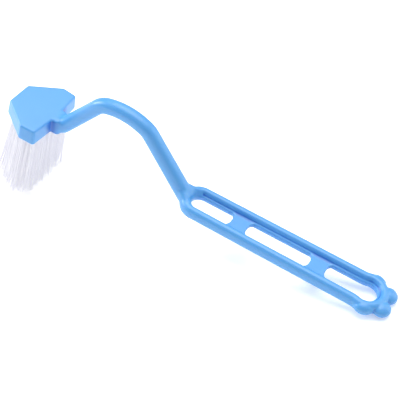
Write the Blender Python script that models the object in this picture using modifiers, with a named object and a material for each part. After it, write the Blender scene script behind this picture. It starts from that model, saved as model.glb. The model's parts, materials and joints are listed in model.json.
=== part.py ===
"""Toilet brush moulded in one piece: a tufted head, a bent neck and an open ring grip with a hanging eye.

Metres, +Z up. The brush is drawn level first: X runs from the front edge of the head towards the
hanging eye, Y runs across, and Z = 0 is the top face of the head. Everything hangs on one empty, which
then lays the brush down the way it rests on a table: on the tips of its rear tufts and on the
underside of the hanging eye.
"""

import math
import random

import bmesh
import bpy
from mathutils import Matrix, Vector

# Head block, a flat block with a hammer-shaped outline
HEAD_LENGTH = 0.0310  # front edge to rear wall, along the middle
HEAD_FRONT_WIDTH = 0.0193
HEAD_WIDTH = 0.0489
HEAD_REAR_WIDTH = 0.0477
HEAD_WIDEST_AT = 0.0190  # from the front edge
HEAD_REAR_BOW = 0.0011  # the rear wall stands out this much at the neck
HEAD_THICKNESS = 0.0105
HEAD_DRAFT = 0.0006  # the side walls lean out by this much at the underside
HEAD_CORNER_RADIUS = 0.0016
HEAD_EDGE_RADIUS = 0.0008
HEAD_EDGE_STEPS = 2

# Tab behind the head, as thick as the head, that the neck grows out of
TAB_LENGTH = 0.0056
TAB_WIDTH = 0.0118
TAB_CORNER_RADIUS = 0.0030

# Neck, a rounded bar bent in one plane; a run goes from the corner of one bend to the next
NECK_WIDTH = 0.0096
NECK_HEIGHT = 0.0098
NECK_SWELL = 1.12  # how much thicker the neck is at the grip
NECK_SQUARENESS = 2.3  # 2 is an ellipse, more is squarer
NECK_OVERLAP = 0.0020  # how deep the bar runs into the head
NECK_TOP_STEP = 0.0011  # top of the bar below the top of the head
ROOT_RUN = 0.0057
ELBOW_RADIUS = 0.0065
RISE_ANGLE = 55.0
RISE_RUN = 0.0439
SHOULDER_RADIUS = 0.0150
ARCH_UP_ANGLE = 17.0
ARCH_UP_RUN = 0.0202
ARCH_RADIUS = 0.0420
ARCH_DOWN_ANGLE = -20.0
ARCH_DOWN_RUN = 0.0176
DROP_RADIUS = 0.0150
DROP_ANGLE = -43.8
DROP_RUN = 0.0507

# Ring grip: one rail bent into a long loop, rounded at the neck and opened into an eye at the far end
GRIP_ANGLE = 3.2  # the grip rises this much towards the eye when the head is level
GRIP_LENGTH = 0.1309  # end of the neck to the middle of the eye
GRIP_WIDTH = 0.0278  # over the rails by the eye
GRIP_NECK_WIDTH = 0.0266  # over the rails by the neck
GRIP_HEEL_LENGTH = 0.0104  # how long the rounded end by the neck is
HEEL_SWELL = 1.20  # how much thicker the rail is there
RAIL_WIDTH = 0.0069
RAIL_HEIGHT = 0.0086
RAIL_SQUARENESS = 2.5
EYE_RADIUS = 0.0080
EYE_FLARE = 0.0055  # the rails widen to the eye over this length

# Two thin cross webs between the rails
WEB_CENTRES = (0.0400, 0.0969)  # from the end of the neck
WEB_LENGTH = 0.0116
WEB_THICKNESS = 0.0028
WEB_STEP = 0.0035  # top of a web below the top of the rails
WEB_FILLET = 0.0038
WEB_TOE = 0.0003  # the plate runs on this far past its fillets

# Four round lobes outside the eye, two at its sides and two at its end
LOBE_WIDTH = 0.0126
LOBE_HEIGHT = 0.0084
LOBE_BACK = 0.0004  # eye's wall to the near side of a lobe, which the rail covers
SIDE_LOBE_ANGLE = 75.5
SIDE_LOBE_REACH = 0.0173  # middle of the eye to the outside of a side lobe
END_LOBE_ANGLE = 25.0
END_LOBE_REACH = 0.0205

# Blind holes for the tufts, in as many rows as fit, that get one hole longer from front to rear
FRONT_ROW_HOLES = 3
FRONT_MARGIN = 0.0052  # front edge to the middle of the first row
REAR_MARGIN = 0.0046
SIDE_MARGIN = 0.0054  # edge of the head to the middle of a row's last hole
HOLE_RADIUS = 0.0022
HOLE_DEPTH = 0.0080
HOLE_WALL = 0.0004  # least plastic left between two rows of holes
CLEARANCE = 0.0003  # left between pieces that touch

# Tufts: strands fused to the root that is packed in the hole
STRANDS_PER_TUFT = 15
STRAND_RADIUS = 0.00028
BUNDLE_RADIUS = 0.0014  # of the strands' middles, at the mouth of the hole
TIP_BUNDLE_RADIUS = 0.0027
ROOT_RECESS = 0.0002
ROOT_GRIP = 0.0005  # how deep the strands run into their root
BRISTLE_LENGTH = 0.0565  # free length below the head
LENGTHWISE_FLARE = 0.28  # share by which the bristles spread from front to rear at their tips
SIDEWAYS_FLARE = 0.13
FORWARD_LEAN = 0.0032  # the middle of the tips ahead of the middle of the head
TIP_RAGGEDNESS = 0.0010
TIP_SCATTER = 0.0002
TIP_TRIM = 0.0005  # cut off the rear tips where the brush rests on them
STRAND_KNEE = 0.45  # share of the length at which a strand bends outwards
KNEE_SPREAD = 0.34  # share of the sideways spread reached there

# Anchors: flat metal strips that hold the folded tufts down in their holes
ANCHOR_THICKNESS = 0.0005
ANCHOR_HEIGHT = 0.0016
ANCHOR_ROOF = 0.0014  # bottom of the hole to the anchor's upper edge

SHARP_ANGLE = 35.0  # degrees; flatter edges are shaded smooth
BEVEL_ANGLE = 50.0  # degrees; sharper edges of the head are rounded
ARC_STEP = 22.0  # degrees between the points of a rounded corner
NECK_ARC_STEP = 7.0
HOLE_SIDES = 12
ROOT_SIDES = 10
SECTION_POINTS = 14
HEEL_STEPS = 10
FLARE_STEPS = 4
EYE_STEPS = 12
LOBE_SEGMENTS = 16
LOBE_RINGS = 8
GOLDEN_ANGLE = math.pi * (3.0 - math.sqrt(5.0))

SKY_BLUE = (0.105, 0.385, 0.800)
SKY_BLUE_ROUGHNESS = 0.32
BRISTLE_WHITE = (0.860, 0.870, 0.900)
BRISTLE_ROUGHNESS = 0.45
ZINC_GREY = (0.560, 0.570, 0.580)
ZINC_ROUGHNESS = 0.35


def clear_scene():
    for item in list(bpy.data.objects):
        bpy.data.objects.remove(item, do_unlink=True)


def make_collection(name):
    collection = bpy.data.collections.new(name)
    bpy.context.scene.collection.children.link(collection)
    return collection


def make_material(name, colour, roughness, metallic=0.0):
    material = bpy.data.materials.new(name)
    material.use_nodes = True
    shader = material.node_tree.nodes["Principled BSDF"]
    shader.inputs["Base Color"].default_value = (*colour, 1.0)
    shader.inputs["Roughness"].default_value = roughness
    shader.inputs["Metallic"].default_value = metallic
    material.diffuse_color = (*colour, 1.0)
    return material


def place(name, data, collection):
    item = bpy.data.objects.new(name, data)
    collection.objects.link(item)
    return item


def as_cutter(item):
    """A shape that is only joined to, or cut out of, a part."""
    item.hide_render = True
    item.display_type = "WIRE"
    return item


def mesh_object(name, shape, collection):
    mesh = bpy.data.meshes.new(name)
    shape.to_mesh(mesh)
    shape.free()
    return place(name, mesh, collection)


def shade_round(mesh):
    mesh.shade_smooth()
    mesh.set_sharp_from_angle(angle=math.radians(SHARP_ANGLE))


def curve_to_mesh(item, collection):
    """A curve object as a mesh object in the same place, with its caps welded on."""
    graph = bpy.context.evaluated_depsgraph_get()
    mesh = bpy.data.meshes.new_from_object(item.evaluated_get(graph))
    shape = bmesh.new()
    shape.from_mesh(mesh)
    bmesh.ops.remove_doubles(shape, verts=shape.verts, dist=1e-6)
    bmesh.ops.recalc_face_normals(shape, faces=shape.faces)
    shape.to_mesh(mesh)
    shape.free()
    shade_round(mesh)
    solid = place(item.name + "_solid", mesh, collection)
    solid.matrix_world = item.matrix_world.copy()
    bpy.data.objects.remove(item, do_unlink=True)
    return solid


def add_boolean(item, operation, other):
    step = item.modifiers.new(operation.lower() + "_" + other.name, "BOOLEAN")
    step.operation = operation
    step.solver = "EXACT"
    step.object = other
    return step


def apply_modifiers(item):
    graph = bpy.context.evaluated_depsgraph_get()
    mesh = bpy.data.meshes.new_from_object(item.evaluated_get(graph))
    item.modifiers.clear()
    item.data = mesh


def rounded(corners, closed, arc_step=ARC_STEP):
    """The points of a plane line through corners (a, b, radius), with an arc at each rounded corner."""
    count = len(corners)
    points = [Vector(corner[:2]) for corner in corners]
    inner = range(count) if closed else range(1, count - 1)
    reach = [0.0] * count
    sides = {}
    for i in inner:
        back = points[i - 1] - points[i]
        ahead = points[(i + 1) % count] - points[i]
        sides[i] = (back, ahead, back.angle(ahead) / 2.0)
        reach[i] = corners[i][2] / math.tan(sides[i][2])
    line = []
    for i in range(count):
        if i not in sides or reach[i] == 0.0:
            line.append(points[i])
            continue
        back, ahead, half = sides[i]
        room = min(
            back.length * reach[i] / max(reach[i] + reach[i - 1], back.length),
            ahead.length * reach[i] / max(reach[i] + reach[(i + 1) % count], ahead.length),
        )
        radius = room * math.tan(half)
        inward = (back.normalized() + ahead.normalized()).normalized()
        middle = points[i] + inward * (radius / math.sin(half))
        first = points[i] + back.normalized() * room - middle
        turn = math.pi - 2.0 * half
        if back.x * ahead.y - back.y * ahead.x > 0.0:
            turn = -turn
        steps = max(1, round(abs(math.degrees(turn)) / arc_step))
        for step in range(steps + 1):
            line.append(middle + Matrix.Rotation(turn * step / steps, 2) @ first)
    return line


def plate(name, outline, thickness, collection):
    """A flat plate: a filled outline, extruded both ways from Z = 0."""
    curve = bpy.data.curves.new(name, "CURVE")
    curve.dimensions = "2D"
    curve.fill_mode = "BOTH"
    curve.extrude = thickness / 2.0
    spline = curve.splines.new("POLY")
    spline.points.add(len(outline) - 1)
    for point, (x, y) in zip(spline.points, outline):
        point.co = (x, y, 0.0, 1.0)
    spline.use_cyclic_u = True
    return curve_to_mesh(place(name, curve, collection), collection)


def oval_section(name, width, height, squareness, collection):
    """A closed rounded section for a swept bar: a superellipse."""
    curve = bpy.data.curves.new(name, "CURVE")
    curve.dimensions = "2D"
    spline = curve.splines.new("POLY")
    spline.points.add(SECTION_POINTS - 1)
    for i, point in enumerate(spline.points):
        turn = 2.0 * math.pi * i / SECTION_POINTS
        across = math.copysign(abs(math.cos(turn)) ** (2.0 / squareness), math.cos(turn)) * width / 2.0
        up = math.copysign(abs(math.sin(turn)) ** (2.0 / squareness), math.sin(turn)) * height / 2.0
        point.co = (across, up, 0.0, 1.0)
    spline.use_cyclic_u = True
    return as_cutter(place(name, curve, collection))


def triangle_section(name, radius, collection):
    curve = bpy.data.curves.new(name, "CURVE")
    curve.dimensions = "2D"
    spline = curve.splines.new("POLY")
    spline.points.add(2)
    for i, point in enumerate(spline.points):
        turn = 2.0 * math.pi * i / 3.0
        point.co = (radius * math.cos(turn), radius * math.sin(turn), 0.0, 1.0)
    spline.use_cyclic_u = True
    return as_cutter(place(name, curve, collection))


def swept_bar(name, lines, section, collection, closed=False, sizes=None, twist="Z_UP"):
    """Bars of one section along lines of points; sizes scales the section point by point."""
    curve = bpy.data.curves.new(name, "CURVE")
    curve.dimensions = "3D"
    curve.twist_mode = twist
    curve.bevel_mode = "OBJECT"
    curve.bevel_object = section
    curve.use_fill_caps = not closed
    for line in lines:
        spline = curve.splines.new("POLY")
        spline.points.add(len(line) - 1)
        for i, point in enumerate(spline.points):
            point.co = (*line[i], 1.0)
            point.radius = sizes[i] if sizes else 1.0
        spline.use_cyclic_u = closed
    return curve_to_mesh(place(name, curve, collection), collection)


def head_outline():
    rear_corner = HEAD_LENGTH - HEAD_REAR_BOW
    half = [
        (0.0, HEAD_FRONT_WIDTH / 2.0, HEAD_CORNER_RADIUS),
        (HEAD_WIDEST_AT, HEAD_WIDTH / 2.0, HEAD_CORNER_RADIUS),
        (rear_corner, HEAD_REAR_WIDTH / 2.0, HEAD_CORNER_RADIUS),
        (HEAD_LENGTH, TAB_WIDTH / 2.0, 0.0),
        (HEAD_LENGTH + TAB_LENGTH, TAB_WIDTH / 2.0, TAB_CORNER_RADIUS),
    ]
    mirrored = [(x, -y, radius) for x, y, radius in reversed(half)]
    return rounded(half + mirrored, closed=True)


def make_head(collection):
    """The block, with its top at Z = 0, drafted side walls and rounded edges."""
    head = plate("head_block", head_outline(), HEAD_THICKNESS, collection)
    shape = bmesh.new()
    shape.from_mesh(head.data)
    bmesh.ops.translate(shape, verts=shape.verts, vec=(0.0, 0.0, -HEAD_THICKNESS / 2.0))
    lower = [vertex for vertex in shape.verts if vertex.co.z < -HEAD_THICKNESS / 2.0]
    grow = Vector((1.0 + 2.0 * HEAD_DRAFT / HEAD_LENGTH, 1.0 + 2.0 * HEAD_DRAFT / HEAD_WIDTH, 1.0))
    centre = Matrix.Translation((-HEAD_LENGTH / 2.0, 0.0, 0.0))
    bmesh.ops.scale(shape, verts=lower, vec=grow, space=centre)
    shape.to_mesh(head.data)
    shape.free()
    edges = head.modifiers.new("rounded_edges", "BEVEL")
    edges.width = HEAD_EDGE_RADIUS
    edges.segments = HEAD_EDGE_STEPS
    edges.limit_method = "ANGLE"
    edges.angle_limit = math.radians(BEVEL_ANGLE)
    return head


def neck_corners():
    """The corners of the neck's centre line as (x, z, bend radius), from inside the head to the grip."""
    height = -NECK_TOP_STEP - NECK_HEIGHT / 2.0
    corners = [(HEAD_LENGTH - NECK_OVERLAP, height, 0.0)]
    x, z = HEAD_LENGTH, height
    runs = (
        (ROOT_RUN, 0.0, ELBOW_RADIUS),
        (RISE_RUN, RISE_ANGLE, SHOULDER_RADIUS),
        (ARCH_UP_RUN, ARCH_UP_ANGLE, ARCH_RADIUS),
        (ARCH_DOWN_RUN, ARCH_DOWN_ANGLE, DROP_RADIUS),
        (DROP_RUN, DROP_ANGLE, 0.0),
    )
    for run, angle, radius in runs:
        x += run * math.cos(math.radians(angle))
        z += run * math.sin(math.radians(angle))
        corners.append((x, z, radius))
    return corners


def make_neck(collection):
    line = rounded(neck_corners(), closed=False, arc_step=NECK_ARC_STEP)
    lengths = [0.0]
    for here, there in zip(line, line[1:]):
        lengths.append(lengths[-1] + (there - here).length)
    sizes = [1.0 + (NECK_SWELL - 1.0) * length / lengths[-1] for length in lengths]
    section = oval_section("neck_section", NECK_WIDTH, NECK_HEIGHT, NECK_SQUARENESS, collection)
    return swept_bar("neck", [[(p.x, 0.0, p.y) for p in line]], section, collection, sizes=sizes)


def grip_frame():
    """Where the grip's own axes lie: on the end of the neck's centre line, X towards the eye."""
    x, z, _ = neck_corners()[-1]
    return Matrix.Translation((x, 0.0, z)) @ Matrix.Rotation(-math.radians(GRIP_ANGLE), 4, "Y")


def ring_line():
    """The centre line of the ring: round heel, two nearly straight rails, and the eye's arc."""
    heel_half = (GRIP_NECK_WIDTH - RAIL_WIDTH) / 2.0
    rail_half = (GRIP_WIDTH - RAIL_WIDTH) / 2.0
    eye_radius = EYE_RADIUS + RAIL_WIDTH / 2.0
    half = []
    for step in range(HEEL_STEPS + 1):
        turn = math.pi / 2.0 * step / HEEL_STEPS
        half.append((GRIP_HEEL_LENGTH * (1.0 - math.cos(turn)), heel_half * math.sin(turn)))
    flare_start = GRIP_LENGTH - EYE_FLARE
    for step in range(FLARE_STEPS):
        share = step / FLARE_STEPS
        ease = share * share * (3.0 - 2.0 * share)
        half.append((flare_start + EYE_FLARE * share, rail_half + (eye_radius - rail_half) * ease))
    for step in range(EYE_STEPS + 1):
        turn = math.pi / 2.0 * step / EYE_STEPS
        half.append((GRIP_LENGTH + eye_radius * math.sin(turn), eye_radius * math.cos(turn)))
    mirrored = [(x, -y) for x, y in reversed(half[1:-1])]
    return [(x, y, 0.0) for x, y in half + mirrored]


def make_ring(collection):
    line = ring_line()
    sizes = []
    for x, _, _ in line:
        share = max(0.0, 1.0 - x / GRIP_HEEL_LENGTH)
        sizes.append(1.0 + (HEEL_SWELL - 1.0) * share)
    section = oval_section("rail_section", RAIL_WIDTH, RAIL_HEIGHT, RAIL_SQUARENESS, collection)
    ring = swept_bar("ring", [line], section, collection, closed=True, sizes=sizes)
    ring.matrix_world = grip_frame()
    return ring


def make_web(number, centre, collection):
    """A thin plate between the rails, with a hollow fillet where it meets each of them."""
    spacing = GRIP_NECK_WIDTH + (GRIP_WIDTH - GRIP_NECK_WIDTH) * centre / GRIP_LENGTH - RAIL_WIDTH
    wall = (spacing - RAIL_WIDTH) / 2.0
    half = WEB_LENGTH / 2.0
    tip = half + WEB_FILLET + WEB_TOE
    quarter = [(half, wall, WEB_FILLET), (tip, wall, 0.0), (tip, spacing / 2.0, 0.0)]
    upper = quarter + [(-x, y, radius) for x, y, radius in reversed(quarter)]
    lower = [(-x, -y, radius) for x, y, radius in upper]
    web = plate(f"web_{number}", rounded(upper + lower, closed=True), WEB_THICKNESS, collection)
    height = RAIL_HEIGHT / 2.0 - WEB_STEP - WEB_THICKNESS / 2.0
    web.matrix_world = grip_frame() @ Matrix.Translation((centre, 0.0, height))
    return web


def make_lobe(number, angle, reach, side, collection):
    """An egg that points away from the eye, turned so that no edge lies along the rail's widest line."""
    shape = bmesh.new()
    turned = Matrix.Rotation(math.pi / 2.0, 4, "Y") @ Matrix.Rotation(math.pi / LOBE_SEGMENTS, 4, "Z")
    bmesh.ops.create_uvsphere(
        shape, u_segments=LOBE_SEGMENTS, v_segments=LOBE_RINGS, radius=1.0, matrix=turned
    )
    half_length = (reach - EYE_RADIUS - LOBE_BACK) / 2.0
    bmesh.ops.scale(shape, verts=shape.verts, vec=(half_length, LOBE_WIDTH / 2.0, LOBE_HEIGHT / 2.0))
    lobe = mesh_object(f"lobe_{number}", shape, collection)
    shade_round(lobe.data)
    eye = grip_frame() @ Matrix.Translation((GRIP_LENGTH, 0.0, 0.0))
    outwards = Matrix.Rotation(math.radians(angle) * side, 4, "Z")
    lobe.matrix_world = eye @ outwards @ Matrix.Translation((reach - half_length, 0.0, 0.0))
    return lobe


def head_width(x):
    """The width of the head at a distance from its front edge."""
    if x < HEAD_WIDEST_AT:
        return HEAD_FRONT_WIDTH + (HEAD_WIDTH - HEAD_FRONT_WIDTH) * x / HEAD_WIDEST_AT
    rear = HEAD_LENGTH - HEAD_REAR_BOW - HEAD_WIDEST_AT
    return HEAD_WIDTH + (HEAD_REAR_WIDTH - HEAD_WIDTH) * (x - HEAD_WIDEST_AT) / rear


def hole_centres():
    """(x, y) of each tuft hole, row by row from the front."""
    length = HEAD_LENGTH - HEAD_REAR_BOW - FRONT_MARGIN - REAR_MARGIN
    steps = int(length / (2.0 * HOLE_RADIUS + HOLE_WALL))
    centres = []
    for row in range(steps + 1):
        x = FRONT_MARGIN + length * row / steps
        last = FRONT_ROW_HOLES + row - 1
        pitch = (head_width(x) - 2.0 * SIDE_MARGIN) / last
        for place_in_row in range(last + 1):
            centres.append((x, (place_in_row - last / 2.0) * pitch))
    return centres


def make_holes(collection):
    """One cutter for all the blind holes."""
    shape = bmesh.new()
    below = HOLE_RADIUS
    depth = HOLE_DEPTH + below
    for x, y in hole_centres():
        middle = Matrix.Translation((x, y, -HEAD_THICKNESS - below + depth / 2.0))
        bmesh.ops.create_cone(
            shape,
            cap_ends=True,
            segments=HOLE_SIDES,
            radius1=HOLE_RADIUS,
            radius2=HOLE_RADIUS,
            depth=depth,
            matrix=middle,
        )
    return mesh_object("tuft_holes", shape, collection)


def make_body(parts, cutters, plastic):
    """The whole moulding: head, neck, ring, webs and lobes joined, and the tuft holes cut out."""
    body = make_head(parts)
    body.name = "brush_body"
    joined = [make_neck(cutters), make_ring(cutters)]
    for number, centre in enumerate(WEB_CENTRES, start=1):
        joined.append(make_web(number, centre, cutters))
    number = 0
    for angle, reach in ((SIDE_LOBE_ANGLE, SIDE_LOBE_REACH), (END_LOBE_ANGLE, END_LOBE_REACH)):
        for side in (-1, 1):
            number += 1
            joined.append(make_lobe(number, angle, reach, side, cutters))
    for shape in joined:
        add_boolean(body, "UNION", as_cutter(shape))
    add_boolean(body, "DIFFERENCE", as_cutter(make_holes(cutters)))
    body.data.materials.append(plastic)
    return body, joined


def tip_centre(x, y):
    """Where the middle of a tuft that starts at (x, y) ends, below the head."""
    middle = HEAD_LENGTH / 2.0
    along = middle - FORWARD_LEAN + (x - middle) * (1.0 + LENGTHWISE_FLARE)
    return Vector((along, y * (1.0 + SIDEWAYS_FLARE), 0.0))


def strand_line(centre, number, draw):
    """The points of one strand: in its root, at its knee and at its tip."""
    share = math.sqrt((number + 0.5) / STRANDS_PER_TUFT)
    turn = number * GOLDEN_ANGLE
    across = Vector((math.cos(turn), math.sin(turn), 0.0)) * share
    root = Vector((*centre, 0.0))
    start = root + across * BUNDLE_RADIUS
    spread = tip_centre(*centre) - root + across * (TIP_BUNDLE_RADIUS - BUNDLE_RADIUS)
    spread += Vector((draw.uniform(-1.0, 1.0), draw.uniform(-1.0, 1.0), 0.0)) * TIP_SCATTER
    length = BRISTLE_LENGTH + draw.uniform(-1.0, 0.0) * TIP_RAGGEDNESS
    mouth = -HEAD_THICKNESS
    return [
        start + Vector((0.0, 0.0, mouth + ROOT_RECESS + ROOT_GRIP)),
        start + spread * KNEE_SPREAD + Vector((0.0, 0.0, mouth - length * STRAND_KNEE)),
        start + spread + Vector((0.0, 0.0, mouth - length)),
    ]


def make_tuft(name, centre, section, parts, cutters, bristle):
    """Strands fused to their packed root, with the slot that its anchor lies in."""
    far_centre = (centre[0], abs(centre[1]))
    draw = random.Random(hole_centres().index(far_centre))
    lines = [strand_line(far_centre, number, draw) for number in range(STRANDS_PER_TUFT)]
    if centre[1] < 0.0:
        lines = [[Vector((p.x, -p.y, p.z)) for p in line] for line in lines]
    strands = swept_bar(name + "_strands", lines, section, cutters, twist="MINIMUM")
    radius = HOLE_RADIUS * math.cos(math.pi / HOLE_SIDES) - CLEARANCE
    top = -HEAD_THICKNESS + HOLE_DEPTH - CLEARANCE
    bottom = -HEAD_THICKNESS + ROOT_RECESS
    shape = bmesh.new()
    bmesh.ops.create_cone(
        shape,
        cap_ends=True,
        segments=ROOT_SIDES,
        radius1=radius,
        radius2=radius,
        depth=top - bottom,
        matrix=Matrix.Translation((*centre, (top + bottom) / 2.0)),
    )
    tuft = mesh_object(name, shape, parts)
    past_root = 3.0 * HOLE_RADIUS
    slot_sides = (past_root, ANCHOR_THICKNESS + 2.0 * CLEARANCE, ANCHOR_HEIGHT + 2.0 * CLEARANCE)
    slot = box(name + "_slot", (*centre, anchor_height()), slot_sides, cutters)
    add_boolean(tuft, "UNION", strands)
    add_boolean(tuft, "DIFFERENCE", slot)
    apply_modifiers(tuft)
    bpy.data.objects.remove(strands, do_unlink=True)
    bpy.data.objects.remove(slot, do_unlink=True)
    tuft.data.materials.append(bristle)
    return tuft


def box(name, middle, sides, collection):
    shape = bmesh.new()
    bmesh.ops.create_cube(shape, size=1.0)
    bmesh.ops.scale(shape, verts=shape.verts, vec=sides)
    item = mesh_object(name, shape, collection)
    item.location = middle
    return item


def anchor_height():
    """Z of the middle of every anchor."""
    return -HEAD_THICKNESS + HOLE_DEPTH - ANCHOR_ROOF - ANCHOR_HEIGHT / 2.0


def make_anchor(name, centre, parts, metal):
    length = 2.0 * (HOLE_RADIUS * math.cos(math.pi / HOLE_SIDES) - CLEARANCE)
    anchor = box(name, (*centre, anchor_height()), (length, ANCHOR_THICKNESS, ANCHOR_HEIGHT), parts)
    anchor.data.materials.append(metal)
    return anchor


def world_points(item):
    graph = bpy.context.evaluated_depsgraph_get()
    mesh = item.evaluated_get(graph).data
    return [item.matrix_world @ vertex.co for vertex in mesh.vertices]


def resting_angle(body):
    """How far the brush leans when its rear tips and the underside of the eye lie on one plane."""
    rear_row = tip_centre(HEAD_LENGTH - HEAD_REAR_BOW - REAR_MARGIN, 0.0)
    rear_tips = Vector((rear_row.x + TIP_BUNDLE_RADIUS, -HEAD_THICKNESS - BRISTLE_LENGTH + TIP_TRIM))
    past_neck = neck_corners()[-1][0] + GRIP_LENGTH / 2.0
    points = [point for point in world_points(body) if point.x > past_neck]
    angle = min(math.atan2(point.z - rear_tips.y, point.x - rear_tips.x) for point in points)
    return angle, rear_tips


def lay_down(body, items, parts, cutters):
    """Hangs everything on one empty, leans it, and cuts the rear tips flat where they rest."""
    angle, rear_tips = resting_angle(body)
    pose = place("resting_pose", None, parts)
    for item in items:
        item.parent = pose
    pose.rotation_euler = (0.0, angle, 0.0)
    pose.location.z = rear_tips.x * math.sin(angle) - rear_tips.y * math.cos(angle)
    table_width = 2.0 * (HEAD_LENGTH + HEAD_WIDTH + BRISTLE_LENGTH)
    table_height = BRISTLE_LENGTH
    table_sides = (table_width, table_width, table_height)
    table = as_cutter(box("table", (0.0, 0.0, -table_height / 2.0), table_sides, cutters))
    tufts = [item for item in parts.objects if item.name.startswith("tuft_")]
    bpy.context.view_layer.update()
    for tuft in tufts:
        if min(point.z for point in world_points(tuft)) < 0.0:
            add_boolean(tuft, "DIFFERENCE", table)
    bpy.context.view_layer.update()
    along = [point.x for item in [body, *tufts] for point in world_points(item)]
    shift = -(min(along) + max(along)) / 2.0
    pose.location.x = shift
    table.location.x = shift
    bpy.context.view_layer.update()


def main():
    clear_scene()
    parts = make_collection("toilet_brush")
    cutters = make_collection("cutters")
    plastic = make_material("sky_blue_plastic", SKY_BLUE, SKY_BLUE_ROUGHNESS)
    bristle = make_material("white_bristle", BRISTLE_WHITE, BRISTLE_ROUGHNESS)
    metal = make_material("zinc_coated_wire", ZINC_GREY, ZINC_ROUGHNESS, metallic=1.0)
    body, joined = make_body(parts, cutters, plastic)
    items = [body, *joined, bpy.data.objects["tuft_holes"]]
    section = triangle_section("strand_section", STRAND_RADIUS, cutters)
    for number, centre in enumerate(hole_centres(), start=1):
        items.append(make_tuft(f"tuft_{number:02d}", centre, section, parts, cutters, bristle))
        items.append(make_anchor(f"anchor_{number:02d}", centre, parts, metal))
    lay_down(body, items, parts, cutters)


main()
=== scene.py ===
import json
import math
import random

import bmesh
import bpy
import numpy as np
from mathutils import Euler, Matrix, Vector

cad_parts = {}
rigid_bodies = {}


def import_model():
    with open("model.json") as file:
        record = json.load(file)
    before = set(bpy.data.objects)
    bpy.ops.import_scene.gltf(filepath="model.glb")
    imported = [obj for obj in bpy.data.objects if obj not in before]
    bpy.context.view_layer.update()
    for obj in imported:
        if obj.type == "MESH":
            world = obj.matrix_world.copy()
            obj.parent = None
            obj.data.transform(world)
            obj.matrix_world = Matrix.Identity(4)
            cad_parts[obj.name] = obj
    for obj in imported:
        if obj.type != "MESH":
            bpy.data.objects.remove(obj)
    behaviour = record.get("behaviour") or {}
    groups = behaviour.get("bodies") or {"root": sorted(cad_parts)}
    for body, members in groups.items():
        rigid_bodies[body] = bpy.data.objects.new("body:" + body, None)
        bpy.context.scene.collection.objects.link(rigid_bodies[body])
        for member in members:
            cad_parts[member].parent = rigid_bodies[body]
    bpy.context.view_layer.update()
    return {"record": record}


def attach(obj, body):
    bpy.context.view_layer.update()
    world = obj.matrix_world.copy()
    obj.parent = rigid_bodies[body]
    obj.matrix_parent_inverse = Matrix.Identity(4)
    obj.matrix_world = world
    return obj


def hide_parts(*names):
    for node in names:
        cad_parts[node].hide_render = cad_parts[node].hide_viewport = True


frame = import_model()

# The resting brush. It lies on the tips of its rear tufts and on the underside of its hanging eye,
# so it leans by the slope of the head's flat top, which the record states as a mount. All its shapes
# below are drawn level, with X = 0 at the head's front edge and Z = 0 at the head's top.
HEAD_LENGTH = 0.0310
TOP_MOUNT_AT = 0.55  # of the head's length

mounts = {mount["name"]: mount for mount in frame["record"]["mounts"]}
top_place = Vector(mounts["head_top"]["pos_m"])
top_normal = mounts["head_top"]["axis"]
lean = Matrix.Rotation(math.atan2(top_normal[0], top_normal[2]), 4, "Y")
resting = Matrix.Translation(top_place - lean @ Vector((HEAD_LENGTH * TOP_MOUNT_AT, 0.0, 0.0))) @ lean

# The camera, as it was recovered from the outline of the brush in the photograph: 85.6 mm on a
# 36 mm sensor, some 0.66 m away, above the near side.
CAMERA_PLACE = Vector((0.25953, -0.4120, 0.4443))
CAMERA_TURN = (42.263, -12.904, 29.455)
LENS_MM = 85.62
SENSOR_MM = 36.0


def put_in_scene(name, data):
    """A new object that holds a camera, a curve, a mesh or a light."""
    item = bpy.data.objects.new(name, data)
    bpy.context.scene.collection.objects.link(item)
    return item


camera_data = bpy.data.cameras.new("camera")
camera_data.sensor_width = SENSOR_MM
camera_data.lens = LENS_MM
camera = put_in_scene("camera", camera_data)
camera_turn = Euler([math.radians(angle) for angle in CAMERA_TURN]).to_matrix().to_4x4()
camera.matrix_world = resting @ Matrix.Translation(CAMERA_PLACE) @ camera_turn
bpy.context.scene.camera = camera

# The moulding: head, neck, ring grip, cross webs and lobes in one shot of sky-blue polypropylene.
# It is drawn as overlapping solids, which are skinned into one surface whose inner corners are then
# filled, as the cutter that made the mould left them round.
HEAD_HALF_WIDTHS = ((0.0, 0.00965), (0.0190, 0.02445), (0.0299, 0.02385))  # by distance from the front
TAB_LENGTH = 0.0056
TAB_HALF_WIDTH = 0.0064
HEAD_THICKNESS = 0.0105
HEAD_DRAFT = 0.0006  # the side walls lean out by this much at the underside
HEAD_CORNER_RADIUS = 0.0020
HEAD_EDGE_RADIUS = 0.0014
HEAD_EDGE_STEPS = 4
HEAD_EDGE_ANGLE = 50.0  # degrees; edges sharper than this are rounded
HEAD_FULLNESS = 0.0006  # its flat faces stand out by this, so that its rounded edges keep its outline
TAB_CORNER_RADIUS = 0.0030
NECK_WIDTH = 0.0096
NECK_HEIGHT = 0.0098
NECK_SWELL = 1.12  # how much thicker the neck gets by the grip
ROOT_SWELL = 0.16  # and at its root in the head, where this fades out over ROOT_SWELL_LENGTH
ROOT_SWELL_LENGTH = 0.0180
NECK_SQUARENESS = 2.35  # 2 is an ellipse, more is squarer
NECK_START = (0.0290, -0.0060)
NECK_RUNS = (
    # length, slope in degrees, radius of the bend at its end
    (0.0077, 0.0, 0.0065),
    (0.0439, 55.0, 0.0150),
    (0.0202, 17.0, 0.0420),
    (0.0176, -20.0, 0.0150),
    (0.0507, -43.8, 0.0),
)
GRIP_ANGLE = 3.2  # degrees that the grip rises towards its eye
GRIP_LENGTH = 0.1309
GRIP_WIDTH = 0.0278
GRIP_NECK_WIDTH = 0.0266
GRIP_HEEL_LENGTH = 0.0104  # how long the rounded end by the neck is
HEEL_START = 0.0008  # where its middle line begins, from the grip's start
HEEL_SWELL = 1.08  # how much thicker the ring is there
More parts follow.
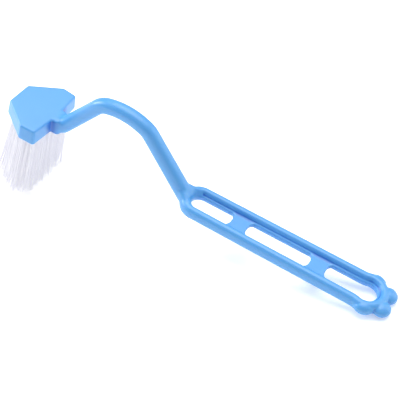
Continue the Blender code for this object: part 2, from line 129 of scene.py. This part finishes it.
BRANCH_PATH = (
    # start, bend and end of an arm of the fork, from the grip's start
    (-0.0105, 0.0010, 0.0090),
    (0.0005, 0.0030, 0.0004),
    (0.0070, 0.0094, 0.0),
)
BRANCH_WIDTH = 0.0050
BRANCH_STEPS = 12
RAIL_WIDTH = 0.0069
RAIL_HEIGHT = 0.0088
RAIL_SQUARENESS = 2.5
EYE_RADIUS = 0.0080
EYE_FLARE = 0.0055  # the rails widen to the eye over this length
WEB_CENTRES = (0.0400, 0.0969)
WEB_HALF_LENGTH = 0.0058
WEB_THICKNESS = 0.0028
WEB_STEP = 0.0035  # top of a web below the top of the rails
WEB_FILLET = 0.0055
WEB_GRIP = 0.0003  # how deep a web's fillets end in the rails
LEDGE_RECESS = 0.0009  # the rails' inner walls step back above the webs
LEDGE_REACH = 0.0006  # and stand out below them
LOBES = ((75.5, 0.0173), (25.0, 0.0205))  # angle off the grip's axis, reach from the middle of the eye
LOBE_WIDTH = 0.0126
LOBE_HEIGHT = 0.0084
LOBE_BACK = 0.0004  # from the edge of the eye's hole to a lobe's inner end
LOBE_SEGMENTS = 48
LOBE_RINGS = 32
SECTION_POINTS = 48
ARC_STEP = 5.0
HEEL_STEPS = 24
FLARE_STEPS = 12
HOLE_ROWS = 5
FRONT_ROW_HOLES = 3  # and one more in each row behind it
FRONT_MARGIN = 0.0052
REAR_MARGIN = 0.0046
SIDE_MARGIN = 0.0054
HOLE_RADIUS = 0.0022
HOLE_DEPTH = 0.0080
HOLE_SIDES = 32
SKIN_VOXEL = 0.00040
HEEL_FILL = ((0.0010, 0.0, 0.0020), 0.0108, 320)  # middle, from the grip's start; reach; rounds
EYE_FILL = ((0.1330, 0.0, 0.0), 0.0230, 6)
TAB_FILL = ((-0.0936, 0.0, 0.0070), 0.0108, 150)
PLAIN_FILL_ROUNDS = 2
FILL_SLIDE = 0.3  # share of each step along the surface, which keeps the faces even
NORMALS_EVERY = 10  # rounds
SMOOTH_ROUNDS = 1
SMOOTH_STEP = 0.5
CREASE_ROUNDS = 20
CREASE_STEP = 0.6
CREASE_DEPTH = 0.00015
TAB_SHADE_REACH = 0.0085
TAB_SHADE_STRENGTH = 1.2
UPRIGHT_WALL = 0.25  # a normal's rise up to which a wall is shaded in full
SLANTED_WALL = 0.75  # and from which it isn't shaded


def moulded_line(corners, closed=False):
    """A plane line through corners (a, b, radius), with an arc at each corner that has a radius."""
    count = len(corners)
    points = [Vector(corner[:2]) for corner in corners]
    line = []
    for i, (_, _, radius) in enumerate(corners):
        if radius == 0.0 or (not closed and i in (0, count - 1)):
            line.append(points[i])
            continue
        back = (points[i - 1] - points[i]).normalized()
        ahead = (points[(i + 1) % count] - points[i]).normalized()
        half = back.angle(ahead) / 2.0
        middle = points[i] + (back + ahead).normalized() * (radius / math.sin(half))
        first = points[i] + back * (radius / math.tan(half)) - middle
        turn = math.pi - 2.0 * half
        if back.x * ahead.y - back.y * ahead.x > 0.0:
            turn = -turn
        steps = max(2, round(abs(math.degrees(turn)) / ARC_STEP))
        for step in range(steps + 1):
            line.append(middle + Matrix.Rotation(turn * step / steps, 2) @ first)
    return line


def as_shape(item):
    """The finished mesh of a curve, in its own place, with its caps welded on."""
    graph = bpy.context.evaluated_depsgraph_get()
    mesh = bpy.data.meshes.new_from_object(item.evaluated_get(graph))
    mesh.transform(item.matrix_world)
    shape = bmesh.new()
    shape.from_mesh(mesh)
    bmesh.ops.remove_doubles(shape, verts=shape.verts, dist=1e-6)
    bmesh.ops.recalc_face_normals(shape, faces=shape.faces)
    bpy.data.objects.remove(item, do_unlink=True)
    bpy.data.meshes.remove(mesh)
    return shape


def flat_plate(outline, thickness, place):
    """A plate of that outline, half of its thickness to each side."""
    curve = bpy.data.curves.new("plate", "CURVE")
    curve.dimensions = "2D"
    curve.fill_mode = "BOTH"
    curve.extrude = thickness / 2.0
    spline = curve.splines.new("POLY")
    spline.points.add(len(outline) - 1)
    for point, (x, y) in zip(spline.points, outline):
        point.co = (x, y, 0.0, 1.0)
    spline.use_cyclic_u = True
    item = put_in_scene("plate", curve)
    item.matrix_world = place
    return as_shape(item)


def rounded_section(width, height, squareness, ledge_height=None):
    """The corners of a bar's section; with a ledge, its inner wall steps in at that height."""
    corners = []
    for i in range(SECTION_POINTS):
        turn = math.tau * i / SECTION_POINTS
        across = math.copysign(abs(math.cos(turn)) ** (2.0 / squareness), math.cos(turn)) * width / 2.0
        up = math.copysign(abs(math.sin(turn)) ** (2.0 / squareness), math.sin(turn)) * height / 2.0
        if ledge_height is not None and across > 0.0:
            step = -LEDGE_RECESS if up > ledge_height else LEDGE_REACH
            across *= 1.0 + 2.0 * step / width
        corners.append((across, up))
    return corners


def moulded_bar(line, section, sizes, place, closed):
    """A bar swept along a line; sizes scales its section point by point."""
    section_curve = bpy.data.curves.new("section", "CURVE")
    section_curve.dimensions = "2D"
    outline = section_curve.splines.new("POLY")
    outline.points.add(len(section) - 1)
    for point, (across, up) in zip(outline.points, section):
        point.co = (across, up, 0.0, 1.0)
    outline.use_cyclic_u = True
    section_item = put_in_scene("section", section_curve)
    curve = bpy.data.curves.new("bar", "CURVE")
    curve.dimensions = "3D"
    curve.twist_mode = "Z_UP"
    curve.bevel_mode = "OBJECT"
    curve.bevel_object = section_item
    curve.use_fill_caps = not closed
    spline = curve.splines.new("POLY")
    spline.points.add(len(line) - 1)
    for point, position, size in zip(spline.points, line, sizes):
        point.co = (*position, 1.0)
        point.radius = size
    spline.use_cyclic_u = closed
    item = put_in_scene("bar", curve)
    item.matrix_world = place
    shape = as_shape(item)
    bpy.data.objects.remove(section_item, do_unlink=True)
    return shape


def head_block():
    """The flat block that holds the tufts, with the tab that the neck starts from."""
    half = [(x, y + HEAD_FULLNESS, HEAD_CORNER_RADIUS) for x, y in HEAD_HALF_WIDTHS]
    half[0] = (-HEAD_FULLNESS, *half[0][1:])
    half.append((HEAD_LENGTH, TAB_HALF_WIDTH, 0.0))
    half.append((HEAD_LENGTH + TAB_LENGTH, TAB_HALF_WIDTH, TAB_CORNER_RADIUS))
    outline = moulded_line(half + [(x, -y, radius) for x, y, radius in reversed(half)], closed=True)
    thickness = HEAD_THICKNESS + 2.0 * HEAD_FULLNESS
    block = flat_plate(outline, thickness, Matrix.Translation((0.0, 0.0, -HEAD_THICKNESS / 2.0)))
    lower = [vertex for vertex in block.verts if vertex.co.z < -HEAD_THICKNESS / 2.0]
    grow = Vector((1.0 + 2.0 * HEAD_DRAFT / HEAD_LENGTH, 1.0 + HEAD_DRAFT / HEAD_HALF_WIDTHS[1][1], 1.0))
    to_middle_of_head = Matrix.Translation((-HEAD_LENGTH / 2.0, 0.0, 0.0))
    bmesh.ops.scale(block, verts=lower, vec=grow, space=to_middle_of_head)
    sharp = math.radians(HEAD_EDGE_ANGLE)
    rims = [edge for edge in block.edges if edge.calc_face_angle(0.0) > sharp]
    bmesh.ops.bevel(
        block,
        geom=rims,
        offset=HEAD_EDGE_RADIUS,
        segments=HEAD_EDGE_STEPS,
        profile=0.5,
        affect="EDGES",
    )
    return block


neck_corners = [(*NECK_START, 0.0)]
for run, angle, radius in NECK_RUNS:
    x, z, _ = neck_corners[-1]
    slope = math.radians(angle)
    neck_corners.append((x + run * math.cos(slope), z + run * math.sin(slope), radius))
grip_start = Vector((neck_corners[-1][0], 0.0, neck_corners[-1][1]))
grip_place = Matrix.Translation(grip_start) @ Matrix.Rotation(-math.radians(GRIP_ANGLE), 4, "Y")


def bent_neck():
    """The bar from the head, up over its arch and down to the grip."""
    line = moulded_line(neck_corners)
    lengths = [0.0]
    for here, there in zip(line, line[1:]):
        lengths.append(lengths[-1] + (there - here).length)
    sizes = []
    for length in lengths:
        root = ROOT_SWELL * max(0.0, 1.0 - length / ROOT_SWELL_LENGTH)
        sizes.append(1.0 + root + (NECK_SWELL - 1.0) * length / lengths[-1])
    section = rounded_section(NECK_WIDTH, NECK_HEIGHT, NECK_SQUARENESS)
    return moulded_bar([(p.x, 0.0, p.y) for p in line], section, sizes, Matrix.Identity(4), closed=False)


def grip_ring():
    """The closed ring of both rails, the rounded end by the neck and the hanging eye."""
    heel_half = (GRIP_NECK_WIDTH - RAIL_WIDTH) / 2.0
    rail_half = (GRIP_WIDTH - RAIL_WIDTH) / 2.0
    eye_half = EYE_RADIUS + RAIL_WIDTH / 2.0
    half = []
    for step in range(HEEL_STEPS + 1):
        turn = math.pi / 2.0 * step / HEEL_STEPS
        x = GRIP_HEEL_LENGTH - (GRIP_HEEL_LENGTH - HEEL_START) * math.cos(turn)
        half.append((x, heel_half * math.sin(turn)))
    for step in range(FLARE_STEPS):
        share = step / FLARE_STEPS
        ease = share * share * (3.0 - 2.0 * share)
        half.append((GRIP_LENGTH - EYE_FLARE * (1.0 - share), rail_half + (eye_half - rail_half) * ease))
    for step in range(HEEL_STEPS + 1):
        turn = math.pi / 2.0 * step / HEEL_STEPS
        half.append((GRIP_LENGTH + eye_half * math.sin(turn), eye_half * math.cos(turn)))
    line = [(x, y, 0.0) for x, y in half] + [(x, -y, 0.0) for x, y in reversed(half[1:-1])]
    sizes = [1.0 + (HEEL_SWELL - 1.0) * max(0.0, 1.0 - x / GRIP_HEEL_LENGTH) for x, _, _ in line]
    ledge_height = RAIL_HEIGHT / 2.0 - WEB_STEP
    section = rounded_section(RAIL_WIDTH, RAIL_HEIGHT, RAIL_SQUARENESS, ledge_height)
    return moulded_bar(line, section, sizes, grip_place, closed=True)


def heel_branch(side):
    """One arm of the fork in which the neck runs out into a rail."""
    start, bend, end = [Vector((x, side * y, z)) for x, y, z in BRANCH_PATH]
    shares = [step / BRANCH_STEPS for step in range(BRANCH_STEPS + 1)]
    line = [start.lerp(bend, share).lerp(bend.lerp(end, share), share) for share in shares]
    section = rounded_section(BRANCH_WIDTH, RAIL_HEIGHT, RAIL_SQUARENESS)
    return moulded_bar(line, section, [1.0] * len(line), grip_place, closed=False)


def cross_web(centre):
    """A thin plate between the rails, with filleted corners that run out along them."""
    spacing = GRIP_NECK_WIDTH + (GRIP_WIDTH - GRIP_NECK_WIDTH) * centre / GRIP_LENGTH - RAIL_WIDTH
    wall = (spacing - RAIL_WIDTH) / 2.0 + WEB_GRIP
    tip = WEB_HALF_LENGTH + WEB_FILLET
    quarter = [(WEB_HALF_LENGTH, wall, WEB_FILLET), (tip, wall, 0.0), (tip, spacing / 2.0, 0.0)]
    upper = quarter + [(-x, y, radius) for x, y, radius in reversed(quarter)]
    outline = moulded_line(upper + [(-x, -y, radius) for x, y, radius in upper], closed=True)
    height = RAIL_HEIGHT / 2.0 - WEB_STEP - WEB_THICKNESS / 2.0
    return flat_plate(outline, WEB_THICKNESS, grip_place @ Matrix.Translation((centre, 0.0, height)))


def eye_lobe(angle, reach):
    """One of the four round lobes outside the eye."""
    half_length = (reach - EYE_RADIUS - LOBE_BACK) / 2.0
    lobe = bmesh.new()
    bmesh.ops.create_uvsphere(lobe, u_segments=LOBE_SEGMENTS, v_segments=LOBE_RINGS, radius=1.0)
    stretch = Matrix.Diagonal((half_length, LOBE_WIDTH / 2.0, LOBE_HEIGHT / 2.0, 1.0))
    turned = Matrix.Translation((GRIP_LENGTH, 0.0, 0.0)) @ Matrix.Rotation(math.radians(angle), 4, "Z")
    place = grip_place @ turned @ Matrix.Translation((reach - half_length, 0.0, 0.0)) @ stretch
    bmesh.ops.transform(lobe, matrix=place, verts=lobe.verts)
    return lobe


def tuft_places():
    """Where each tuft's hole opens in the underside, as (x, y), row by row from the front."""
    row_pitch = (HEAD_HALF_WIDTHS[2][0] - FRONT_MARGIN - REAR_MARGIN) / (HOLE_ROWS - 1)
    places = []
    for row in range(HOLE_ROWS):
        x = FRONT_MARGIN + row * row_pitch
        reach = np.interp(x, *zip(*HEAD_HALF_WIDTHS)) - SIDE_MARGIN
        last = FRONT_ROW_HOLES + row - 1
        for i in range(last + 1):
            places.append((x, reach * (2.0 * i / last - 1.0)))
    return places


def join_shapes(name, shapes):
    """One object that holds all the shapes, still overlapping."""
    whole = bmesh.new()
    for shape in shapes:
        mesh = bpy.data.meshes.new("one_shape")
        shape.to_mesh(mesh)
        shape.free()
        whole.from_mesh(mesh)
        bpy.data.meshes.remove(mesh)
    mesh = bpy.data.meshes.new(name)
    whole.to_mesh(mesh)
    whole.free()
    return put_in_scene(name, mesh)


def apply_modifiers(item):
    """Makes the mesh that an object's modifiers show its own."""
    graph = bpy.context.evaluated_depsgraph_get()
    mesh = bpy.data.meshes.new_from_object(item.evaluated_get(graph))
    item.modifiers.clear()
    item.data = mesh


solids = [head_block(), bent_neck(), grip_ring(), heel_branch(-1), heel_branch(1)]
for centre in WEB_CENTRES:
    solids.append(cross_web(centre))
for angle, reach in LOBES:
    for side in (-1, 1):
        solids.append(eye_lobe(angle * side, reach))
moulding = join_shapes("moulding", solids)
skin = moulding.modifiers.new("skin", "REMESH")
skin.mode = "VOXEL"
skin.voxel_size = SKIN_VOXEL
apply_modifiers(moulding)
skinned = moulding.data

surface = np.zeros(len(skinned.vertices) * 3)
skinned.vertices.foreach_get("co", surface)
surface = surface.reshape(-1, 3)
edge_ends = np.zeros(len(skinned.edges) * 2, np.int32)
skinned.edges.foreach_get("vertices", edge_ends)
edge_ends = edge_ends.reshape(-1, 2)
face_corners = np.zeros(len(skinned.loops), np.int32)
skinned.loops.foreach_get("vertex_index", face_corners)
quads = face_corners.reshape(-1, 4)


def sum_at(index, values, count):
    """Adds up the vectors that share an index."""
    return np.stack([np.bincount(index, values[:, k], count) for k in range(3)], axis=1)


def to_middle(places, ends):
    """The way from each vertex to the middle of its neighbours."""
    first, second = ends.T
    count = len(places)
    total = sum_at(first, places[second], count) + sum_at(second, places[first], count)
    return total / np.maximum(np.bincount(ends.ravel(), minlength=count), 1)[:, None] - places


def outward_normals(places, faces):
    """The direction in which the surface faces at each vertex."""
    first, second, third, fourth = [places[faces[:, k]] for k in range(4)]
    across = np.cross(third - first, fourth - second)
    total = sum(sum_at(faces[:, k], across, len(places)) for k in range(4))
    return total / np.maximum(np.linalg.norm(total, axis=1, keepdims=True), 1e-12)


def filled(places, weight, rounds):
    """Fills inner corners: a vertex goes to its neighbours' middle only where that lies outwards."""
    busy = weight > 0.0
    faces = quads[busy[quads].any(axis=1)]
    used, faces = np.unique(faces, return_inverse=True)
    faces = faces.reshape(-1, 4)
    own_number = np.full(len(places), -1)
    own_number[used] = np.arange(len(used))
    ends = own_number[edge_ends]
    ends = ends[(ends >= 0).all(axis=1)]
    near = places[used]
    near_weight = weight[used][:, None]
    for round_number in range(rounds):
        if round_number % NORMALS_EVERY == 0:
            normals = outward_normals(near, faces)
        step = to_middle(near, ends)
        outward = (step * normals).sum(axis=1, keepdims=True)
        slide = step - outward * normals
        near = near + near_weight * (np.maximum(outward, 0.0) * normals + FILL_SLIDE * slide)
    places = places.copy()
    places[used] = near
    return places


# All corners are filled a little. Those at the heel, the eye and the tab are then filled in full up
# to half their reach, and less and less from there.
surface = filled(surface, np.ones(len(surface)), PLAIN_FILL_ROUNDS)
to_grip = np.array(grip_place.inverted())
for middle, reach, rounds in (HEEL_FILL, EYE_FILL, TAB_FILL):
    on_grip = surface @ to_grip[:3, :3].T + to_grip[:3, 3]
    away = np.linalg.norm(on_grip - np.array(middle), axis=1) / reach
    surface = filled(surface, np.clip(2.0 * (1.0 - away), 0.0, 1.0), rounds)
for _ in range(SMOOTH_ROUNDS):
    surface = surface + SMOOTH_STEP * to_middle(surface, edge_ends)
skinned.vertices.foreach_set("co", surface.ravel())

# Painted shade, from 0 to 1: how far each place lies back in a crease, where shade falls. The upright
# walls on both sides of the corners between the head and its tab get painted shade too.
normals = outward_normals(surface, quads)
softened = surface.copy()
for _ in range(CREASE_ROUNDS):
    softened += CREASE_STEP * to_middle(softened, edge_ends)
crease = ((softened - surface) * normals).sum(axis=1) / CREASE_DEPTH
from_corner = np.hypot(surface[:, 0] - HEAD_LENGTH, np.abs(surface[:, 1]) - TAB_HALF_WIDTH)
near_corner = np.clip(TAB_SHADE_STRENGTH * (1.0 - from_corner / TAB_SHADE_REACH), 0.0, 1.0)
upright = np.clip((SLANTED_WALL - np.abs(normals[:, 2])) / (SLANTED_WALL - UPRIGHT_WALL), 0.0, 1.0)
tab_shade = near_corner * upright
painted_shade = np.clip(np.maximum(crease, tab_shade), 0.0, 1.0)
skinned.attributes.new("painted_shade", "FLOAT", "POINT").data.foreach_set("value", painted_shade)

# Each cutter stands out below the head by a hole's radius, so that it cuts clean through the face
cutters = []
for x, y in tuft_places():
    cutter = bmesh.new()
    middle = Matrix.Translation((x, y, HOLE_DEPTH / 2.0 - HEAD_THICKNESS - HOLE_RADIUS / 2.0))
    depth = HOLE_DEPTH + HOLE_RADIUS
    bmesh.ops.create_cone(
        cutter,
        cap_ends=True,
        segments=HOLE_SIDES,
        radius1=HOLE_RADIUS,
        radius2=HOLE_RADIUS,
        depth=depth,
        matrix=middle,
    )
    cutters.append(cutter)
tuft_holes = join_shapes("tuft_holes", cutters)
drill = moulding.modifiers.new("drill", "BOOLEAN")
drill.operation = "DIFFERENCE"
drill.solver = "MANIFOLD"
drill.object = tuft_holes
apply_modifiers(moulding)
bpy.data.objects.remove(tuft_holes, do_unlink=True)
moulding.data.transform(resting)
moulding.data.shade_smooth()


def new_finish(name):
    """A material, with the nodes, the links and the shader that it is made up of."""
    finish = bpy.data.materials.new(name)
    finish.use_nodes = True
    tree = finish.node_tree
    return finish, tree.nodes, tree.links, tree.nodes["Principled BSDF"]


# A colour that drifts between two over the surface, as it does in plastic, nylon and card
drifting_tint = bpy.data.node_groups.new("drifting_tint", "ShaderNodeTree")
for name, side, kind in (
    ("Scale", "INPUT", "NodeSocketFloat"),
    ("Detail", "INPUT", "NodeSocketFloat"),
    ("First Colour", "INPUT", "NodeSocketColor"),
    ("Second Colour", "INPUT", "NodeSocketColor"),
    ("Colour", "OUTPUT", "NodeSocketColor"),
    ("Drift", "OUTPUT", "NodeSocketFloat"),
):
    drifting_tint.interface.new_socket(name=name, in_out=side, socket_type=kind)
nodes, links = drifting_tint.nodes, drifting_tint.links
given = nodes.new("NodeGroupInput")
result = nodes.new("NodeGroupOutput")
place = nodes.new("ShaderNodeTexCoord")
drift = nodes.new("ShaderNodeTexNoise")
tint = nodes.new("ShaderNodeMix")
tint.data_type = "RGBA"
links.new(place.outputs["Object"], drift.inputs["Vector"])
links.new(given.outputs["Scale"], drift.inputs["Scale"])
links.new(given.outputs["Detail"], drift.inputs["Detail"])
links.new(drift.outputs["Fac"], tint.inputs["Factor"])
links.new(given.outputs["First Colour"], tint.inputs["A"])
links.new(given.outputs["Second Colour"], tint.inputs["B"])
links.new(tint.outputs["Result"], result.inputs["Colour"])
links.new(drift.outputs["Fac"], result.inputs["Drift"])


def add_drifting_tint(nodes, scale, detail, first, second):
    """That group in a material, with the material's own values."""
    tint = nodes.new("ShaderNodeGroup")
    tint.node_tree = drifting_tint
    tint.inputs["Scale"].default_value = scale
    tint.inputs["Detail"].default_value = detail
    tint.inputs["First Colour"].default_value = (*first, 1.0)
    tint.inputs["Second Colour"].default_value = (*second, 1.0)
    return tint


plastic, nodes, links, shader = new_finish("sky_blue_plastic")
shader.inputs["IOR"].default_value = 1.49
shader.inputs["Specular IOR Level"].default_value = 0.75
shader.inputs["Subsurface Weight"].default_value = 0.15
shader.inputs["Subsurface Radius"].default_value = (0.1, 0.35, 1.0)
shader.inputs["Subsurface Scale"].default_value = 0.003
tint = add_drifting_tint(nodes, 60.0, 4.0, (0.080, 0.344, 0.755), (0.094, 0.368, 0.775))
# Painted shade: the colour turns a deeper blue in creases and in the corners by the head's tab.
painted_shade_amount = nodes.new("ShaderNodeAttribute")
painted_shade_amount.attribute_name = "painted_shade"
shade = nodes.new("ShaderNodeMapRange")
shade.inputs["From Min"].default_value = 0.30
links.new(painted_shade_amount.outputs["Fac"], shade.inputs["Value"])
deep = nodes.new("ShaderNodeMix")
deep.data_type = "RGBA"
deep.inputs["B"].default_value = (0.012, 0.155, 0.600, 1.0)
links.new(shade.outputs["Result"], deep.inputs["Factor"])
links.new(tint.outputs["Colour"], deep.inputs["A"])
links.new(deep.outputs["Result"], shader.inputs["Base Color"])
rough = nodes.new("ShaderNodeMapRange")
rough.inputs["To Min"].default_value = 0.30
rough.inputs["To Max"].default_value = 0.42
links.new(tint.outputs["Drift"], rough.inputs["Value"])
links.new(rough.outputs["Result"], shader.inputs["Roughness"])
place = nodes.new("ShaderNodeTexCoord")
grain = nodes.new("ShaderNodeTexNoise")
grain.inputs["Scale"].default_value = 1400.0
grain.inputs["Detail"].default_value = 2.0
links.new(place.outputs["Object"], grain.inputs["Vector"])
bump = nodes.new("ShaderNodeBump")
bump.inputs["Strength"].default_value = 0.06
bump.inputs["Distance"].default_value = 0.0002
links.new(grain.outputs["Fac"], bump.inputs["Height"])
links.new(bump.outputs["Normal"], shader.inputs["Normal"])
moulding.data.materials.clear()
moulding.data.materials.append(plastic)
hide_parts("brush_body")
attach(moulding, "root")

# The tufts: white nylon filaments, folded in half over the flat anchor that was punched into each
# hole with them. They leave the hole as a tight bundle and open out to uneven wisps.
FOLDED_FILAMENTS = 32
FILAMENT_RADIUS = 0.00017
ANCHOR_ROOF = 0.0014  # bottom of the hole to the anchor's upper edge
ANCHOR_DEPTH = HOLE_DEPTH - ANCHOR_ROOF  # mouth of the hole to that edge
FOLD_HALF_WIDTH = 0.0006
FOLD_NARROWING = 0.9
FOLD_LAYERS = 3
FIRST_LAYER = 1.5  # over the anchor, in radii of a filament
BUNDLE_RADIUS = 0.0018
TIP_BUNDLE_RADIUS = 0.0041
BRISTLE_LENGTH = 0.0574
LENGTHWISE_FLARE = 0.28  # the field of tips is longer than that of the holes by this share
SIDEWAYS_FLARE = 0.13  # and wider by this
FORWARD_LEAN = 0.0032  # all tips lie this much nearer to the head's front
NEAR_LEAN = 0.0004  # and this much nearer to the near side
WISPS = 4  # in each tuft
WISP_PLACE = 0.75  # of the bundle's radius at its tip
WISP_PULL = 0.43
WISP_SHORTER = 0.0030  # at most, as the next two
TUFT_SHORTER = 0.0024
FILAMENT_SHORTER = 0.0012
WORN_TUFTS = {19: 0.0055}  # the tuft at the near rear corner has worn down by this
TIP_SCATTER = 0.0009
BOW = 0.0005
STATIONS = (0.12, 0.30, 0.50, 0.72, 1.0)  # shares of the length, where a filament's points lie
SPREAD_POWER = 1.35  # above 1, a tuft leans out mostly near its tip
OPENING_POWER = 0.36  # below 1, it opens out mostly near its root
GOLDEN_ANGLE = math.pi * (3.0 - math.sqrt(5.0))  # spreads the filaments evenly over a bundle
TUFT_SEED = 11

draw = random.Random(TUFT_SEED)


def filament_half(start, tip, middle_line, length, bow):
    """One half of a folded filament, from the mouth of its hole to its tip."""
    points = []
    for share in STATIONS:
        across = start.lerp(tip, share ** OPENING_POWER)
        centre = middle_line * share ** SPREAD_POWER
        down = Vector((0.0, 0.0, -length * share))
        points.append(centre + across + bow * math.sin(math.pi * share) + down)
    return points


def tuft_curve(name, root, worn):
    """All the filaments of one tuft, folded over its anchor; root is the mouth of its hole."""
    curve = bpy.data.curves.new(name, "CURVE")
    curve.dimensions = "3D"
    curve.bevel_depth = FILAMENT_RADIUS
    curve.bevel_resolution = 0
    curve.use_fill_caps = True
    middle = HEAD_LENGTH / 2.0
    tip_x = middle - FORWARD_LEAN + (root.x - middle) * (1.0 + LENGTHWISE_FLARE)
    tip_y = root.y * (1.0 + SIDEWAYS_FLARE) - NEAR_LEAN
    middle_line = Vector((tip_x - root.x, tip_y - root.y, 0.0))
    length = BRISTLE_LENGTH - worn - draw.random() * TUFT_SHORTER
    turn_of_tuft = draw.random() * math.tau
    wisps = []
    for number in range(WISPS):
        angle = turn_of_tuft + math.tau * number / WISPS
        centre = Vector((math.cos(angle), math.sin(angle), 0.0)) * TIP_BUNDLE_RADIUS * WISP_PLACE
        wisps.append((centre, draw.random() ** 2 * WISP_SHORTER))
    for number in range(FOLDED_FILAMENTS):
        share = math.sqrt((number + 0.5) / FOLDED_FILAMENTS)
        angle = number * GOLDEN_ANGLE
        halves = []
        for side in (-1.0, 1.0):
            across = Vector((math.cos(angle), side * abs(math.sin(angle)), 0.0)) * share
            tip = across * TIP_BUNDLE_RADIUS
            wisp, shorter = min(wisps, key=lambda item: (item[0] - tip).length)
            tip = tip.lerp(wisp, WISP_PULL)
            tip += Vector((draw.uniform(-1.0, 1.0), draw.uniform(-1.0, 1.0), 0.0)) * TIP_SCATTER
            bow = Vector((draw.uniform(-1.0, 1.0), draw.uniform(-1.0, 1.0), 0.0)) * BOW
            free = length - shorter - draw.random() * FILAMENT_SHORTER
            mouth = across * BUNDLE_RADIUS
            half = [Vector((mouth.x * FOLD_NARROWING, side * FOLD_HALF_WIDTH, ANCHOR_DEPTH)), mouth]
            half += filament_half(mouth, tip, middle_line, free, bow)
            halves.append(half)
        layer = number % FOLD_LAYERS
        fold_height = ANCHOR_DEPTH + FILAMENT_RADIUS * (FIRST_LAYER + 2.0 * layer)
        fold = Vector((halves[0][0].x, 0.0, fold_height))
        line = list(reversed(halves[0])) + [fold] + halves[1]
        spline = curve.splines.new("POLY")
        spline.points.add(len(line) - 1)
        for point, position in zip(spline.points, line):
            world = resting @ (root + position)
            world.z = max(world.z, FILAMENT_RADIUS)
            point.co = (*world, 1.0)
    return curve


bristle, nodes, links, shader = new_finish("white_bristle")
shader.inputs["Roughness"].default_value = 0.38
shader.inputs["IOR"].default_value = 1.53
# Painted light: the filaments glow a little in their own colour, which lightens the shade between the
# tufts.
shader.inputs["Emission Strength"].default_value = 0.26
white = add_drifting_tint(nodes, 260.0, 2.0, (0.70, 0.70, 0.76), (0.76, 0.76, 0.80))
links.new(white.outputs["Colour"], shader.inputs["Base Color"])
links.new(white.outputs["Colour"], shader.inputs["Emission Color"])

for number, (x, y) in enumerate(tuft_places(), start=1):
    name = f"bristles_{number:02d}"
    curve = tuft_curve(name, Vector((x, y, -HEAD_THICKNESS)), WORN_TUFTS.get(number, 0.0))
    tuft = put_in_scene(name, curve)
    tuft.data.materials.append(bristle)
    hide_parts(f"tuft_{number:02d}")
    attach(tuft, "root")

# The anchors: flat strips of zinc-coated steel wire, one punched down into each hole. The CAD
# shapes stay as they are and only get their metal.
zinc, nodes, links, shader = new_finish("zinc_coated_wire")
shader.inputs["Metallic"].default_value = 1.0
place = nodes.new("ShaderNodeTexCoord")
spangle = nodes.new("ShaderNodeTexVoronoi")
spangle.inputs["Scale"].default_value = 1800.0
links.new(place.outputs["Object"], spangle.inputs["Vector"])
grey = nodes.new("ShaderNodeMix")
grey.data_type = "RGBA"
grey.inputs["A"].default_value = (0.46, 0.47, 0.49, 1.0)
grey.inputs["B"].default_value = (0.64, 0.65, 0.67, 1.0)
links.new(spangle.outputs["Distance"], grey.inputs["Factor"])
links.new(grey.outputs["Result"], shader.inputs["Base Color"])
dull = nodes.new("ShaderNodeMapRange")
dull.inputs["To Min"].default_value = 0.28
dull.inputs["To Max"].default_value = 0.46
links.new(spangle.outputs["Distance"], dull.inputs["Value"])
links.new(dull.outputs["Result"], shader.inputs["Roughness"])
for number in range(1, len(tuft_places()) + 1):
    anchor = bpy.data.objects[f"anchor_{number:02d}"]
    anchor.material_slots[0].link = "OBJECT"
    anchor.material_slots[0].material = zinc

# The floor: a wide sheet of matt white card that the brush lies on. It gives off a little light of
# its own, so that it looks as white as in a product photograph.
FLOOR_HALF_WIDTH = 3.0

floor_shape = bmesh.new()
bmesh.ops.create_grid(floor_shape, x_segments=1, y_segments=1, size=FLOOR_HALF_WIDTH)
floor_mesh = bpy.data.meshes.new("floor")
floor_shape.to_mesh(floor_mesh)
floor_shape.free()
floor = put_in_scene("floor", floor_mesh)
card, nodes, links, shader = new_finish("white_card")
shader.inputs["Roughness"].default_value = 0.8
shader.inputs["Emission Color"].default_value = (1.0, 1.0, 1.0, 1.0)
shader.inputs["Emission Strength"].default_value = 0.34
paper = add_drifting_tint(nodes, 40.0, 5.0, (0.88, 0.88, 0.89), (0.90, 0.90, 0.90))
links.new(paper.outputs["Colour"], shader.inputs["Base Color"])
floor.data.materials.append(card)

# The light: a bright white studio all round, with softboxes overhead, on the left and on the right.
# The one overhead is the strongest and stands a little behind the brush, as its highlights show.
SOFTBOXES = (
    # name, place, side in metres, power in watts
    ("overhead", (0.00, 0.40, 1.60), 1.5, 23.0),
    ("left", (-1.20, -0.20, 0.65), 0.7, 11.5),
    ("right", (1.00, 0.85, 0.60), 0.9, 4.8),
)
STUDIO_BRIGHTNESS = 0.40

for name, place, side, power in SOFTBOXES:
    light = bpy.data.lights.new(name, "AREA")
    light.shape = "SQUARE"
    light.size = side
    light.energy = power
    lamp = put_in_scene(name, light)
    lamp.location = place
    lamp.rotation_euler = (-Vector(place)).to_track_quat("-Z", "Y").to_euler()
studio = bpy.data.worlds.new("studio")
studio.use_nodes = True
nodes, links = studio.node_tree.nodes, studio.node_tree.links
wall = nodes["Background"]
wall.inputs["Color"].default_value = (1.0, 1.0, 1.0, 1.0)
# The studio's wall is as white as its floor to look at, but gives off less light than that
seen = nodes.new("ShaderNodeLightPath")
white_wall = nodes.new("ShaderNodeMapRange")
white_wall.inputs["To Min"].default_value = STUDIO_BRIGHTNESS
white_wall.inputs["To Max"].default_value = 1.0
links.new(seen.outputs["Is Camera Ray"], white_wall.inputs["Value"])
links.new(white_wall.outputs["Result"], wall.inputs["Strength"])
bpy.context.scene.world = studio
bpy.context.scene.view_settings.view_transform = "Standard"
